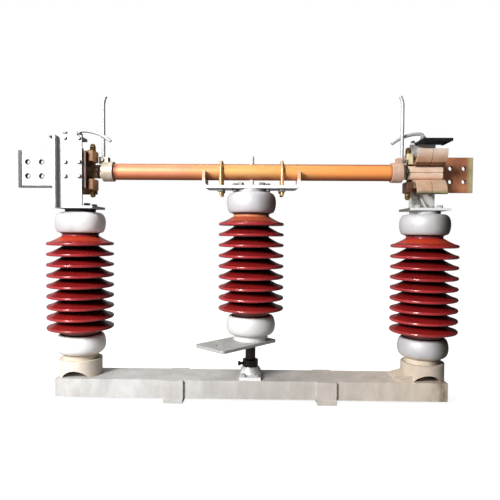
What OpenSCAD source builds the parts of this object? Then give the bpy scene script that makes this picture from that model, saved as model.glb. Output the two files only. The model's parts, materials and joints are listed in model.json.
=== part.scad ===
// Double-break disconnect switch, one pole: three post insulators on a channel beam.
// The outer posts carry finger contacts, the middle post turns a copper blade into both of them.
// X runs along the beam, +Z is up, the origin lies between the feet on the turning axis.

/* [Base beam] */
// Distance that the channel runs past each outer post's axis
beam_overhang = 55; // [50:1:150]
// Width across the channel's web
beam_w = 120; // [110:1:160]
// Depth of the flanges
beam_h = 53; // [40:1:80]
// Thickness of web and flanges
beam_t = 6; // [4:0.5:10]
// Radius of the fillets inside the channel
beam_fillet = 6; // [2:0.5:12]

/* [Mounting feet] */
// Distance between the two feet
foot_pitch = 440; // [300:1:520]
// Width of a foot along the beam
foot_w = 56; // [46:1:90]
// Thickness of the sole plate
sole_t = 11; // [8:0.5:16]
// Thickness of the cheeks welded to the flanges
cheek_t = 8; // [5:0.5:12]
// Distance that the sole reaches past each cheek
sole_lip = 7; // [3:0.5:14]
// Distance between the two bolts of one foot
foot_bolt_pitch = 70; // [50:1:78]
// Diameter of the foot's bolt holes
foot_bolt_d = 18; // [10:0.5:22]

/* [Insulators] */
// Height of one post with its caps
post_h = 445; // [300:1:600]
// Distance from shed to shed
shed_pitch = 31; // [24:0.5:44]
// Diameter over the sheds
shed_d = 193; // [160:1:220]
// Thickness of a shed's rim
shed_rim_t = 9; // [5:0.5:11]
// Rise of a shed's underside from its rim to the core
shed_under = 5; // [0:0.5:8]
// Rise of a shed's upper face from its rim to the core
shed_over = 19; // [8:0.5:20]
// Diameter of the porcelain core
core_d = 105; // [80:1:116]
// Height of the first shed's rim above the lower cap
first_shed_gap = 22; // [16:1:40]
// Least length of bare core under the upper cap
last_shed_gap = 6; // [2:0.5:20]
// Height of the lower cap
lower_cap_h = 72; // [60:1:90]
// Height of the upper cap under its boss
upper_cap_h = 60; // [52:1:80]
// Largest diameter of the caps
cap_d = 145; // [136:1:170]
// Wall of the caps round the porcelain at their rims
cap_wall = 7; // [4:0.5:10]
// Diameter of the ring under the lower cap
cap_ring_d = 102; // [80:1:116]
// Height of that ring
cap_ring_h = 16; // [4:0.5:24]
// Depth that the porcelain sits in each cap
socket_depth = 42; // [25:1:46]
// Diameter of the boss on the upper cap
boss_d = 88; // [70:1:100]
// Height of the boss on the upper cap
boss_h = 10; // [6:0.5:14]

/* [Pedestals] */
// Height of the pedestal under each outer post
pedestal_h = 48; // [42:1:70]
// Diameter of the pedestal
pedestal_d = 124; // [110:1:140]
// Radius of the arch through the pedestal
arch_r = 46; // [30:1:50]
// Depth of the arch's centre below the beam's top
arch_drop = 25; // [10:0.5:28]
// Length of the right pedestal's sloping toe
toe_len = 26; // [14:1:60]
// Height of the toe against the pedestal
toe_h = 16; // [10:1:30]
// Distance from the pedestal's side in to the toe's edge
toe_inset = 16; // [6:1:30]

/* [Turning gear] */
// Height of the middle post's foot above an outer post's foot
centre_rise = 61; // [52:1:90]
// Diameter of the bearing housing at its foot
bearing_d = 58; // [52:1:80]
// Wall of the bearing housing at its top
bearing_wall = 8; // [4:0.5:12]
// Height of the bearing housing
bearing_h = 28; // [20:1:40]
// Thickness of the bearing's foot plate
bearing_foot_t = 8; // [6:0.5:12]
// Width of the foot plate on each side of the housing
bearing_foot_rim = 2; // [1:0.5:20]
// Distance from the foot plate's ends to the beam's edges
bearing_foot_edge = 3; // [1:0.5:20]
// Thickness of the bearing housing's floor
bearing_floor = 5; // [2:0.5:10]
// Diameter of the shaft
shaft_d = 30; // [20:1:36]
// Running clearance round the shaft
shaft_gap = 0.1; // [0.05:0.05:0.4]
// Gap between the collar and the housing
thrust_gap = 0.5; // [0.3:0.05:0.8]
// Diameter of the shaft collar
collar_d = 46; // [40:1:80]
// Height of the shaft collar
collar_h = 20; // [12:1:24]
// Thickness of the crank plate
crank_t = 8; // [6:0.5:12]
// Width of the crank plate
crank_w = 118; // [80:1:140]
// Length of the crank plate from the axis to its far end
crank_reach = 165; // [140:1:220]
// Length of the crank plate behind the axis
crank_back = 52; // [45:1:80]
// Corner radius of the crank plate
crank_corner_r = 10; // [4:1:20]
// Direction of the crank plate seen from above
crank_angle = 226.5; // [200:0.5:250]
// Distance from the crank plate's far end to the link pin's hole
link_edge = 38; // [24:1:60]
// Diameter of the link pin's hole
link_d = 18; // [12:0.5:24]

/* [Blade] */
// Outer diameter of the blade tube
tube_d = 48; // [38:1:56]
// Wall of the blade tube
tube_wall = 4; // [2:0.5:6]
// Height of the tube's axis above the middle post
tube_rise = 50; // [46:1:70]
// Length of the blade tube
tube_len = 860; // [640:1:1200]
// Clearance between pieces that are fitted together
fit_gap = 0.2; // [0.1:0.05:0.3]
// Wall of the end clamps
clamp_wall = 5; // [3:0.5:8]
// Length of each end clamp on the tube
clamp_grip = 22; // [16:1:50]
// Length of the blade tip's head inside the end clamp
head_len = 9; // [5:0.5:12]
// Height of the blade tip
tip_h = 40; // [30:1:40]
// Thickness of the blade tip
tip_t = 24; // [16:1:32]
// Distance that the blade tip stops short of the last finger's outer edge
tip_short = 2; // [0:0.5:8]
// Width and depth of the groove along the blade tip
tip_groove = 3; // [1:0.5:5]

/* [Saddle] */
// Length of the saddle plate
saddle_len = 282; // [240:1:340]
// Width of plate outside the U-bolts' legs
saddle_rim = 10; // [4:0.5:20]
// Thickness of the saddle plate
saddle_t = 8; // [5:0.5:10]
// Inside radius of the saddle's bends
saddle_bend = 7; // [3:0.5:14]
// Distance between the two U-bolts
u_bolt_pitch = 178; // [120:1:210]
// Diameter of the U-bolts
u_bolt_d = 10; // [8:0.5:12]
// Length of the U-bolts' legs below the saddle
u_bolt_tail = 20; // [12:1:30]
// Diameter of the bolt through the tube's middle
centre_bolt_d = 14; // [10:0.5:18]
// Height of that bolt above the tube
centre_bolt_top = 22; // [10:1:30]

/* [Contacts] */
// Free distance between the end clamp and the first finger
swing_gap = 23; // [8:1:40]
// Distance from the first finger's inner edge to the post's axis
finger_inset = 37; // [20:1:60]
// Number of fingers in a row
finger_count = 2; // [1:1:3]
// Width of a finger
finger_w = 42; // [24:1:44]
// Free distance between two fingers
finger_space = 1.5; // [1:0.5:6]
// Thickness of a finger
finger_t = 7; // [4:0.5:9]
// Gap between a finger and the blade tip
jaw_gap = 0.5; // [0.3:0.05:1]
// Height that a finger's mouth flares away from the blade
flare_h = 44; // [20:1:50]
// Depth of the flared mouth in front of the axis
flare_depth = 34; // [24:1:44]
// Height of a finger's root off the blade
root_lift = 14; // [9:1:20]
// Distance from the axis to the terminal bar's inner face
bar_offset = 46; // [40:1:52]
// Thickness of the terminal bar
bar_t = 12; // [8:0.5:16]
// Height of the terminal bar
bar_h = 106; // [100:1:130]
// Distance from the post's axis to the terminal bar's outer end
bar_reach = 157; // [140:1:220]
// Distance from the bar's outer end to its outer holes
bar_edge = 27; // [18:1:36]
// Distance between the terminal's holes
pad_pitch = 40; // [30:1:44]
// Diameter of the terminal's holes
pad_hole_d = 14; // [9:0.5:16]
// Diameter of the holes that fix the bar to its bracket
fixing_d = 7; // [5:0.5:12]

/* [Brackets] */
// Thickness of the bracket's plates
bracket_t = 7; // [5:0.5:10]
// Width of the upright plate
bracket_w = 76; // [70:1:90]
// Distance from the post's axis to the upright's outer edge
bracket_edge = 48; // [44:1:54]
// Depth of the flange along the upright's outer edge
bracket_flange = 24; // [12:1:30]
// Length of the bracket's foot plate along the beam
base_len = 116; // [100:1:130]
// Distance that the bracket's foot plate reaches past the post's axis
base_reach = 50; // [44:1:60]
// Gap between the gusset and the terminal bar
gusset_gap = 7; // [3:0.5:20]
// Length of the gusset on the foot plate
gusset_len = 70; // [40:1:90]

/* [Rain covers] */
// Width of a rain cover along the beam
cover_w = 84; // [70:1:100]
// Distance that the cover reaches past the blade's axis
cover_front = 22; // [10:1:60]
// Free height between the fingers' mouths and the cover
cover_headroom = 26.5; // [8:0.5:40]
// Thickness of a rain cover
cover_t = 5; // [3:0.5:8]
// Distance from the post's axis to the cover's inner edge
cover_inset = 14; // [10:1:30]
// Drop of the lip round the cover's edge
cover_lip = 3; // [2:0.5:12]

/* [Arcing horns] */
// Diameter of the horn rods
horn_d = 10; // [8:0.5:12]
// Distance from the tube's end to the moving horn
horn_reach = 10; // [6:0.5:24]
// Height of the straight part above the tube's axis
horn_straight = 194; // [150:1:220]
// Radius of the bend at the tip
horn_bend_r = 60; // [30:1:120]
// Angle that the tip is bent through
horn_lean = 28; // [10:1:45]
// Height of the clamp's lug above the tube
lug_rise = 18; // [12:1:30]
// Width of the clamp's lug across the beam
lug_w = 24; // [18:1:30]
// Wall of the lug beside the rod
lug_wall = 5; // [3:0.5:8]
// Floor of the lug under the rod
lug_floor = 3; // [2:0.5:6]
// Free distance between the fixed and the moving horn
horn_clear = 6; // [5:0.5:10]
// Radius of the fixed horn's curve
fixed_horn_r = 128; // [90:1:220]
// Angle that the fixed horn's curve turns through
fixed_horn_sweep = 40; // [20:1:46]
// Height of the fixed horn over the rain cover
fixed_horn_rise = 18; // [16:1:34]

/* [Hidden] */
$fn = 64;
cut = 1;
// Points up the side of a cap, and how full that side is
swell_steps = 24;
swell_power = 0.8;
// Points across a shed's face and round its rim, and how hollow the faces are
shed_steps = 5;
rim_steps = 5;
shed_power = 1.3;
// Points round a finger's mouth, and the slope of the crank at its root
mouth_steps = 8;
root_slope = 45;

// Levels, from the feet up
beam_top = sole_t + beam_h;
outer_foot_z = beam_top + pedestal_h;
centre_foot_z = outer_foot_z + centre_rise;
outer_top_z = outer_foot_z + post_h;
centre_top_z = centre_foot_z + post_h;
collar_z = beam_top + bearing_h + thrust_gap;
saddle_top_z = centre_top_z + saddle_t;
tube_z = centre_top_z + tube_rise;

// Blade, from the tube's end outwards
tube_r = tube_d / 2;
tube_bore_r = tube_r - tube_wall;
clamp_bore_r = tube_r + fit_gap;
tube_end = tube_len / 2;
clamp_start = tube_end - clamp_grip;
clamp_end = tube_end + head_len;
horn_r = horn_d / 2;
horn_x = tube_end + horn_reach;
lug_end = horn_x + horn_r + lug_wall;
lug_top_z = tube_z + tube_r + lug_rise;
rod_foot_z = tube_z + tube_r + lug_floor;
u_leg_r = u_bolt_d / 2;
u_ring_r = tube_r + fit_gap + u_leg_r;
saddle_w = 2 * (u_ring_r + u_leg_r + saddle_rim);

// Contacts: the blade lies between the rows, the bracket stands behind them
finger_start = lug_end + swing_gap;
finger_pitch = finger_w + finger_space;
finger_end = finger_start + finger_count * finger_pitch - finger_space;
tip_end = finger_end - tip_short;
post_pitch = finger_start + finger_inset;
beam_len = 2 * (post_pitch + beam_overhang);
jaw_half = tip_h / 2 + jaw_gap;
mouth_half = jaw_half + flare_h;
bar_back = bar_offset + bar_t;
bar_end = post_pitch + bar_reach;
bracket_back = bar_back + bracket_t;
bracket_top_z = tube_z + mouth_half + cover_headroom + cover_lip;
bracket_h = bracket_top_z - outer_top_z;
cover_top_z = bracket_top_z + cover_t;
cover_depth = bracket_back + cover_front;
pad_x = bar_end - bar_edge - pad_pitch / 2;
fixed_horn_y = 2 * horn_r + horn_clear;

// Colours
galvanised = [0.76, 0.75, 0.72];
silver = [0.82, 0.82, 0.82];
glaze = [0.45, 0.1, 0.08];
copper = [0.85, 0.45, 0.2];
bronze = [0.8, 0.6, 0.45];
black = [0.08, 0.08, 0.08];
dark_steel = [0.2, 0.17, 0.14];
rod_grey = [0.68, 0.68, 0.67];

// The right-hand arm as modelled, the left-hand one turned half round the axis
module on_side(side) {
    rotate([0, 0, side > 0 ? 0 : 180])
        children();
}

// A plate's corners rounded in plan, exact circles at the corners
module rounded_plate(size, r) {
    square([size.x - 2 * r, size.y], center = true);
    square([size.x, size.y - 2 * r], center = true);
    for (x = [-1, 1], y = [-1, 1])
        translate([x * (size.x / 2 - r), y * (size.y / 2 - r)])
            circle(r);
}

// A profile drawn in X and Z, extruded across the beam about Y = 0
module across(width) {
    rotate([90, 0, 0])
        linear_extrude(width, center = true)
            children();
}

// A profile drawn in Y and Z, extruded along the beam
module along(length) {
    rotate([90, 0, 90])
        linear_extrude(length)
            children();
}

// A bar of the given radius between two points along X
module rod_x(x0, x1, r) {
    translate([x0, 0, 0])
        rotate([0, 90, 0])
            cylinder(h = x1 - x0, r = r);
}

// Base
// A rolled channel, open underneath, with filleted inner corners
module base_beam() {
    color(galvanised)
        translate([-beam_len / 2, 0, sole_t])
            along(beam_len)
                difference() {
                    translate([-beam_w / 2, 0])
                        square([beam_w, beam_h]);
                    rounded_plate([beam_w - 2 * beam_t, 2 * (beam_h - beam_t)], beam_fillet);
                }
}

// A sole under the beam with a cheek on each flange
module mounting_foot() {
    sole_w = beam_w + 2 * (cheek_t + sole_lip);
    difference() {
        union() {
            translate([-foot_w / 2, -sole_w / 2, 0])
                cube([foot_w, sole_w, sole_t]);
            for (side = [0, 1])
                mirror([0, side, 0])
                    translate([-foot_w / 2, beam_w / 2, sole_t])
                        cube([foot_w, cheek_t, beam_h]);
        }
        for (side = [-1, 1])
            translate([0, side * foot_bolt_pitch / 2, -cut])
                cylinder(h = sole_t + 2 * cut, d = foot_bolt_d);
    }
}

module left_foot() {
    color(galvanised)
        translate([-foot_pitch / 2, 0, 0])
            mounting_foot();
}

module right_foot() {
    color(galvanised)
        translate([foot_pitch / 2, 0, 0])
            mounting_foot();
}

// A round pedestal with an arch through it, and on the toed one a sloping toe towards the middle
module pedestal(toed) {
    r = pedestal_d / 2;
    toe_start = r - toe_inset;
    toe_root = arch_r / 4;
    toe_end = r + toe_len;
    toe_tip_h = toe_h / 4;
    translate([post_pitch, 0, beam_top])
        difference() {
            union() {
                cylinder(h = pedestal_h, d = pedestal_d);
                if (toed)
                    across(2 * toe_start)
                        polygon([
                            [-toe_root, 0], [-toe_end, 0], [-toe_end, toe_tip_h],
                            [-toe_start, toe_h], [-toe_root, toe_h]
                        ]);
            }
            translate([0, 0, -arch_drop])
                rotate([90, 0, 0])
                    cylinder(h = pedestal_d + cut, r = arch_r, center = true);
        }
}

module left_pedestal() {
    color(galvanised)
        on_side(-1) pedestal(false);
}

module right_pedestal() {
    color(galvanised)
        on_side(1) pedestal(true);
}

// Points up a swelling side, from radius r0 at z0 to r1 at z1, as wide as r between them
function swell(r0, z0, r1, z1, r) = [
    for (i = [0 : swell_steps]) let (
        a = 180 * i / swell_steps - 90,
        u = (1 + sin(a)) / 2,
        straight = r0 + (r1 - r0) * u
    ) [straight + (r - straight) * pow(cos(a), swell_power), z0 + (z1 - z0) * u]
];

// Post insulator, its foot at Z = 0
module lower_cap() {
    ring_r = cap_ring_d / 2;
    rim_r = core_d / 2 + fit_gap + cap_wall;
    h = lower_cap_h;
    difference() {
        rotate_extrude()
            polygon([
                [0, 0], [ring_r, 0],
                each swell(ring_r, cap_ring_h, rim_r, h, cap_d / 2),
                [0, h]
            ]);
        translate([0, 0, h - socket_depth])
            cylinder(h = socket_depth + cut, r = core_d / 2 + fit_gap);
    }
}

module upper_cap() {
    boss_r = boss_d / 2;
    rim_r = core_d / 2 + fit_gap + cap_wall;
    shoulder_r = boss_r + cap_wall;
    h = upper_cap_h;
    translate([0, 0, post_h - boss_h - h])
        difference() {
            rotate_extrude()
                polygon([
                    [0, 0],
                    each swell(rim_r, 0, shoulder_r, h, cap_d / 2),
                    [boss_r, h], [boss_r, h + boss_h], [0, h + boss_h]
                ]);
            translate([0, 0, -cut])
                cylinder(h = socket_depth + cut, r = core_d / 2 + fit_gap);
        }
}

// One shed: hollow faces that thicken towards the core, joined by a round rim
function shed_outline(z) = let (
        half = shed_rim_t / 2,
        core_r = core_d / 2,
        rim_r = shed_d / 2 - half,
        reach = rim_r - core_r
    ) [
        for (i = [0 : shed_steps - 1]) let (u = i / shed_steps)
            [core_r + reach * u, z - half + shed_under * pow(1 - u, shed_power)],
        for (i = [0 : rim_steps]) let (a = 180 * i / rim_steps - 90)
            [rim_r + half * cos(a), z + half * sin(a)],
        for (i = [shed_steps - 1 : -1 : 0]) let (u = i / shed_steps)
            [core_r + reach * u, z + half + shed_over * pow(1 - u, shed_power)]
    ];

// As many sheds as the porcelain between the caps has room for
module insulator() {
    upper_cap_z = post_h - boss_h - upper_cap_h;
    first_shed_z = lower_cap_h + first_shed_gap;
    last_shed_z = upper_cap_z - last_shed_gap - shed_over - shed_rim_t / 2;
    bottom = lower_cap_h - socket_depth;
    top = upper_cap_z + socket_depth;
    rotate_extrude()
        polygon([
            [0, bottom], [core_d / 2, bottom],
            for (z = [first_shed_z : shed_pitch : last_shed_z]) each shed_outline(z),
            [core_d / 2, top], [0, top]
        ]);
}

module left_lower_cap() {
    color(silver)
        translate([-post_pitch, 0, outer_foot_z])
            lower_cap();
}

module right_lower_cap() {
    color(silver)
        translate([post_pitch, 0, outer_foot_z])
            lower_cap();
}

module left_insulator() {
    color(glaze)
        translate([-post_pitch, 0, outer_foot_z])
            insulator();
}

module right_insulator() {
    color(glaze)
        translate([post_pitch, 0, outer_foot_z])
            insulator();
}

module left_upper_cap() {
    color(silver)
        translate([-post_pitch, 0, outer_foot_z])
            upper_cap();
}

module right_upper_cap() {
    color(silver)
        translate([post_pitch, 0, outer_foot_z])
            upper_cap();
}

// Fixed contacts of the right-hand arm; the blade leaves them towards -Y
// An upright behind the contact with a flanged edge, a foot plate and a gusset
module bracket() {
    outer = post_pitch + bracket_edge;
    gusset_h = tube_z - bar_h / 2 - gusset_gap - outer_top_z - bracket_t;
    difference() {
        union() {
            translate([outer - bracket_w, bar_back, outer_top_z])
                cube([bracket_w, bracket_t, bracket_h]);
            translate([outer - bracket_t, bar_back, outer_top_z])
                cube([bracket_t, bracket_flange, bracket_h]);
            translate([post_pitch - base_len / 2, -base_reach, outer_top_z])
                cube([base_len, base_reach + bracket_back, bracket_t]);
            translate([post_pitch - bracket_t / 2, 0, outer_top_z + bracket_t])
                along(bracket_t)
                    polygon([[bar_back, 0], [bar_back, gusset_h], [bar_back - gusset_len, 0]]);
        }
        fixing_holes();
    }
}

// The four holes where the terminal bar is bolted to the upright
module fixing_holes() {
    for (x = [-1, 1], z = [-1, 1])
        translate([post_pitch + x * pad_pitch / 2, bar_offset - cut, tube_z + z * pad_pitch / 2])
            rotate([-90, 0, 0])
                cylinder(h = bar_t + bracket_t + 2 * cut, d = fixing_d);
}

module terminal() {
    difference() {
        translate([finger_start, bar_offset, tube_z - bar_h / 2])
            cube([bar_end - finger_start, bar_t, bar_h]);
        for (x = [-1, 1], z = [-1, 1])
            translate([pad_x + x * pad_pitch / 2, bar_offset - cut, tube_z + z * pad_pitch / 2])
                rotate([-90, 0, 0])
                    cylinder(h = bar_t + 2 * cut, d = pad_hole_d);
        fixing_holes();
    }
}

// A finger seen along the beam: rooted on the bar, pressed to the blade, curved away at the mouth
module finger_profile() {
    root = jaw_half + root_lift;
    nose = -tip_t / 2;
    heel = tip_t / 2;
    crank = heel + root_lift / tan(root_slope);
    mitre = finger_t * tan(root_slope / 2);
    polygon([
        [bar_offset, root], [crank, root], [heel, jaw_half],
        each mouth(nose, flare_depth, flare_h, [0 : mouth_steps]),
        each mouth(nose, flare_depth - finger_t, flare_h - finger_t, [mouth_steps : -1 : 0]),
        [heel - mitre, jaw_half + finger_t], [crank - mitre, root + finger_t], [bar_offset, root + finger_t]
    ]);
}

// A quarter of an ellipse from the contact face out to the mouth's edge
function mouth(nose, depth, height, steps) = [
    for (i = steps) let (a = 90 * i / mouth_steps)
        [nose - depth * sin(a), mouth_half - height * cos(a)]
];

module finger_row(up) {
    translate([0, 0, tube_z])
        mirror([0, 0, up ? 0 : 1])
            for (i = [0 : finger_count - 1])
                translate([finger_start + i * finger_pitch, 0, 0])
                    along(finger_w)
                        finger_profile();
}

// A flat roof with a turned-down lip on its three free sides
module rain_cover() {
    inner = post_pitch - cover_inset;
    difference() {
        translate([inner, bracket_back - cover_depth, bracket_top_z - cover_lip])
            cube([cover_w, cover_depth, cover_lip + cover_t]);
        translate([inner + cover_t, bracket_back - cover_depth + cover_t, bracket_top_z - cover_lip - cut])
            cube([cover_w - 2 * cover_t, cover_depth + cut, cover_lip + cut]);
        translate([inner - cut, bar_back, bracket_top_z - cover_lip - cut])
            cube([cover_w + 2 * cut, cover_depth + cut, cover_lip + cut]);
    }
}

// A post on the rain cover, bent over into a rod that curves down beside the moving horn
module fixed_horn() {
    bend_r = horn_d;
    root_x = post_pitch - cover_inset + bend_r;
    bend_z = cover_top_z + fixed_horn_rise - bend_r;
    translate([root_x, fixed_horn_y, cover_top_z])
        cylinder(h = fixed_horn_rise - bend_r, r = horn_r);
    translate([root_x - bend_r, fixed_horn_y, bend_z])
        horn_arc(bend_r, 0, 90);
    translate([root_x - bend_r, fixed_horn_y, bend_z + bend_r - fixed_horn_r])
        horn_arc(fixed_horn_r, 90, fixed_horn_sweep);
}

// A stretch of bent rod in the plane of X and Z, angles counted from +X towards +Z
module horn_arc(r, from, sweep) {
    rotate([90, 0, 0])
        rotate([0, 0, from])
            rotate_extrude(angle = sweep)
                translate([r, 0])
                    circle(horn_r);
}

module left_bracket() {
    color(silver)
        on_side(-1) bracket();
}

module right_bracket() {
    color(silver)
        on_side(1) bracket();
}

module left_terminal() {
    color(silver)
        on_side(-1) terminal();
}

module right_terminal() {
    color(bronze)
        on_side(1) terminal();
}

module left_upper_fingers() {
    color(bronze)
        on_side(-1) finger_row(true);
}

module right_upper_fingers() {
    color(bronze)
        on_side(1) finger_row(true);
}

module left_lower_fingers() {
    color(bronze)
        on_side(-1) finger_row(false);
}

module right_lower_fingers() {
    color(bronze)
        on_side(1) finger_row(false);
}

module left_rain_cover() {
    color(black)
        on_side(-1) rain_cover();
}

module right_rain_cover() {
    color(black)
        on_side(1) rain_cover();
}

module left_fixed_horn() {
    color(rod_grey)
        on_side(-1) fixed_horn();
}

module right_fixed_horn() {
    color(rod_grey)
        on_side(1) fixed_horn();
}

// Turning gear under the middle post
// A tapered housing on a foot plate that lies across the beam
module bearing_housing() {
    bore_r = shaft_d / 2 + shaft_gap;
    foot_len = beam_w - 2 * bearing_foot_edge;
    foot_side = bearing_d + 2 * bearing_foot_rim;
    color(silver)
        translate([0, 0, beam_top])
            difference() {
                union() {
                    translate([-foot_side / 2, -foot_len / 2, 0])
                        cube([foot_side, foot_len, bearing_foot_t]);
                    translate([0, 0, bearing_foot_t])
                        cylinder(h = bearing_h - bearing_foot_t, r1 = bearing_d / 2, r2 = bore_r + bearing_wall);
                }
                translate([0, 0, bearing_floor])
                    cylinder(h = bearing_h, r = bore_r);
            }
}

module shaft() {
    bottom = beam_top + bearing_floor + thrust_gap;
    color(dark_steel)
        translate([0, 0, bottom])
            cylinder(h = centre_foot_z - crank_t - bottom, d = shaft_d);
}

module shaft_collar() {
    color(dark_steel)
        translate([0, 0, collar_z])
            difference() {
                cylinder(h = collar_h, d = collar_d);
                translate([0, 0, -cut])
                    cylinder(h = collar_h + 2 * cut, r = shaft_d / 2 + fit_gap);
            }
}

module crank_plate() {
    length = crank_reach + crank_back;
    color(galvanised)
        translate([0, 0, centre_foot_z - crank_t])
            rotate([0, 0, crank_angle])
                difference() {
                    translate([(crank_reach - crank_back) / 2, 0, 0])
                        linear_extrude(crank_t)
                            rounded_plate([length, crank_w], crank_corner_r);
                    translate([crank_reach - link_edge, 0, -cut])
                        cylinder(h = crank_t + 2 * cut, d = link_d);
                }
}

module centre_lower_cap() {
    color(silver)
        translate([0, 0, centre_foot_z])
            lower_cap();
}

module centre_insulator() {
    color(glaze)
        translate([0, 0, centre_foot_z])
            insulator();
}

module centre_upper_cap() {
    color(silver)
        translate([0, 0, centre_foot_z])
            upper_cap();
}

// Blade
// A plate on the middle post, bent up at both ends to cradle the tube
module blade_saddle() {
    color(silver)
        difference() {
            translate([0, 0, tube_z])
                across(saddle_w)
                    difference() {
                        rounded_plate([saddle_len, 2 * tube_rise], saddle_bend + saddle_t);
                        rounded_plate([saddle_len - 2 * saddle_t, 2 * (tube_rise - saddle_t)], saddle_bend);
                        translate([-saddle_len / 2, 0])
                            square([saddle_len, tube_rise]);
                    }
            translate([0, 0, tube_z])
                rod_x(-saddle_len, saddle_len, clamp_bore_r);
            for (x = [-1, 1], y = [-1, 1])
                translate([x * u_bolt_pitch / 2, y * u_ring_r, centre_top_z - cut])
                    cylinder(h = saddle_t + 2 * cut, r = u_leg_r + fit_gap);
        }
}

// Two round bows over the tube, their legs down through the saddle
module u_bolts() {
    bottom = centre_top_z - u_bolt_tail;
    color(rod_grey)
        for (x = [-1, 1])
            translate([x * u_bolt_pitch / 2, 0, 0]) {
                for (y = [-1, 1])
                    translate([0, y * u_ring_r, bottom])
                        cylinder(h = tube_z - bottom, r = u_leg_r);
                translate([0, 0, tube_z])
                    rotate([90, 0, 90])
                        rotate_extrude(angle = 180)
                            translate([u_ring_r, 0])
                                circle(u_leg_r);
            }
}

module blade_tube() {
    color(copper)
        difference() {
            translate([0, 0, tube_z])
                rod_x(-tube_end, tube_end, tube_r);
            translate([0, 0, tube_z])
                rod_x(-tube_end - cut, tube_end + cut, tube_bore_r);
            translate([0, 0, tube_z - tube_d])
                cylinder(h = 2 * tube_d, r = centre_bolt_d / 2 + fit_gap);
        }
}

// The bolt that keys the tube to the saddle
module centre_bolt() {
    color(rod_grey)
        translate([0, 0, saddle_top_z])
            cylinder(h = tube_z + tube_r + centre_bolt_top - saddle_top_z, d = centre_bolt_d);
}

// A ring round the tube's end with a lug for the horn
module end_clamp() {
    lug_x0 = clamp_start + (clamp_end - clamp_start) / 2;
    difference() {
        union() {
            translate([0, 0, tube_z])
                rod_x(clamp_start, clamp_end, clamp_bore_r + clamp_wall);
            translate([lug_x0, -lug_w / 2, tube_z])
                cube([lug_end - lug_x0, lug_w, lug_top_z - tube_z]);
        }
        translate([0, 0, tube_z])
            rod_x(clamp_start - cut, lug_end + cut, clamp_bore_r);
        translate([horn_x, 0, rod_foot_z])
            cylinder(h = lug_rise, r = horn_r + fit_gap);
    }
}

// A flat silvered bar with round edges, grooved along its sides, and a round head in the clamp
module blade_tip() {
    edge_r = tip_t / 2;
    translate([0, 0, tube_z]) {
        rod_x(tube_end, clamp_end, tube_r);
        translate([clamp_end, 0, 0])
            along(tip_end - clamp_end)
                difference() {
                    union() {
                        square([tip_t, tip_h - tip_t], center = true);
                        for (z = [-1, 1])
                            translate([0, z * (tip_h / 2 - edge_r)])
                                circle(edge_r);
                    }
                    for (y = [-1, 1])
                        translate([y * edge_r, 0])
                            square(tip_groove * [2, 1], center = true);
                }
    }
}

// An upright rod with its tip bent towards the middle
module moving_horn() {
    top = tube_z + horn_straight;
    translate([horn_x, 0, rod_foot_z])
        cylinder(h = top - rod_foot_z, r = horn_r);
    translate([horn_x - horn_bend_r, 0, top])
        horn_arc(horn_bend_r, 0, horn_lean);
}

module left_end_clamp() {
    color(silver)
        on_side(-1) end_clamp();
}

module right_end_clamp() {
    color(silver)
        on_side(1) end_clamp();
}

module left_blade_tip() {
    color(bronze)
        on_side(-1) blade_tip();
}

module right_blade_tip() {
    color(bronze)
        on_side(1) blade_tip();
}

module left_moving_horn() {
    color(rod_grey)
        on_side(-1) moving_horn();
}

module right_moving_horn() {
    color(rod_grey)
        on_side(1) moving_horn();
}

base_beam();
left_foot();
right_foot();
left_pedestal();
right_pedestal();
bearing_housing();
left_lower_cap();
right_lower_cap();
left_insulator();
right_insulator();
left_upper_cap();
right_upper_cap();
left_bracket();
right_bracket();
left_terminal();
right_terminal();
left_upper_fingers();
right_upper_fingers();
left_lower_fingers();
right_lower_fingers();
left_rain_cover();
right_rain_cover();
left_fixed_horn();
right_fixed_horn();
shaft();
shaft_collar();
crank_plate();
centre_lower_cap();
centre_insulator();
centre_upper_cap();
blade_saddle();
u_bolts();
blade_tube();
centre_bolt();
left_end_clamp();
right_end_clamp();
left_blade_tip();
right_blade_tip();
left_moving_horn();
right_moving_horn();
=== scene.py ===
"""Looks of the disconnect switch: finishes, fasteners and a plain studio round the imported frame."""
import json
import math
import random

import bmesh
import bpy
from mathutils import Euler, Matrix, Vector


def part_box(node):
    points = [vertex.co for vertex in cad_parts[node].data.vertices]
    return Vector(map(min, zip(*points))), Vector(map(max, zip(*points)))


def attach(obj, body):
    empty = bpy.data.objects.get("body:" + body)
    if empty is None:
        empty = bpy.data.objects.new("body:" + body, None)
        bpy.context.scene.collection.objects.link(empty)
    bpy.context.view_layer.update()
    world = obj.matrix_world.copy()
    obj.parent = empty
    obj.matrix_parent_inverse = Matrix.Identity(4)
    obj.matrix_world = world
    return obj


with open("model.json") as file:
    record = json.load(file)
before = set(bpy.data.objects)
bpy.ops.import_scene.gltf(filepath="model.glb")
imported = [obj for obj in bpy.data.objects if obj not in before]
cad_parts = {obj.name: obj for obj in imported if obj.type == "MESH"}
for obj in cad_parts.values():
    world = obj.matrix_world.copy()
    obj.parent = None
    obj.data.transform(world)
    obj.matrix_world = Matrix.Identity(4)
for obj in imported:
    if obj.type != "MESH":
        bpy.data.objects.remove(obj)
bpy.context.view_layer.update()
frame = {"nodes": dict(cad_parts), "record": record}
nodes = frame["nodes"]

MM = 0.001
UP, DOWN = (0, 0, 1), (0, 0, -1)
FRONT, REAR = (0, -1, 0), (0, 1, 0)
BOTH = (-1, 1)  # the two sides of an axis


# Places in the frame, in millimetres

def corners(node):
    """A node's lowest and highest corner."""
    low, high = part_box(node)
    return Vector(low) / MM, Vector(high) / MM


def centre(node):
    """The middle of a node's box."""
    low, high = corners(node)
    return (low + high) / 2


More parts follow.
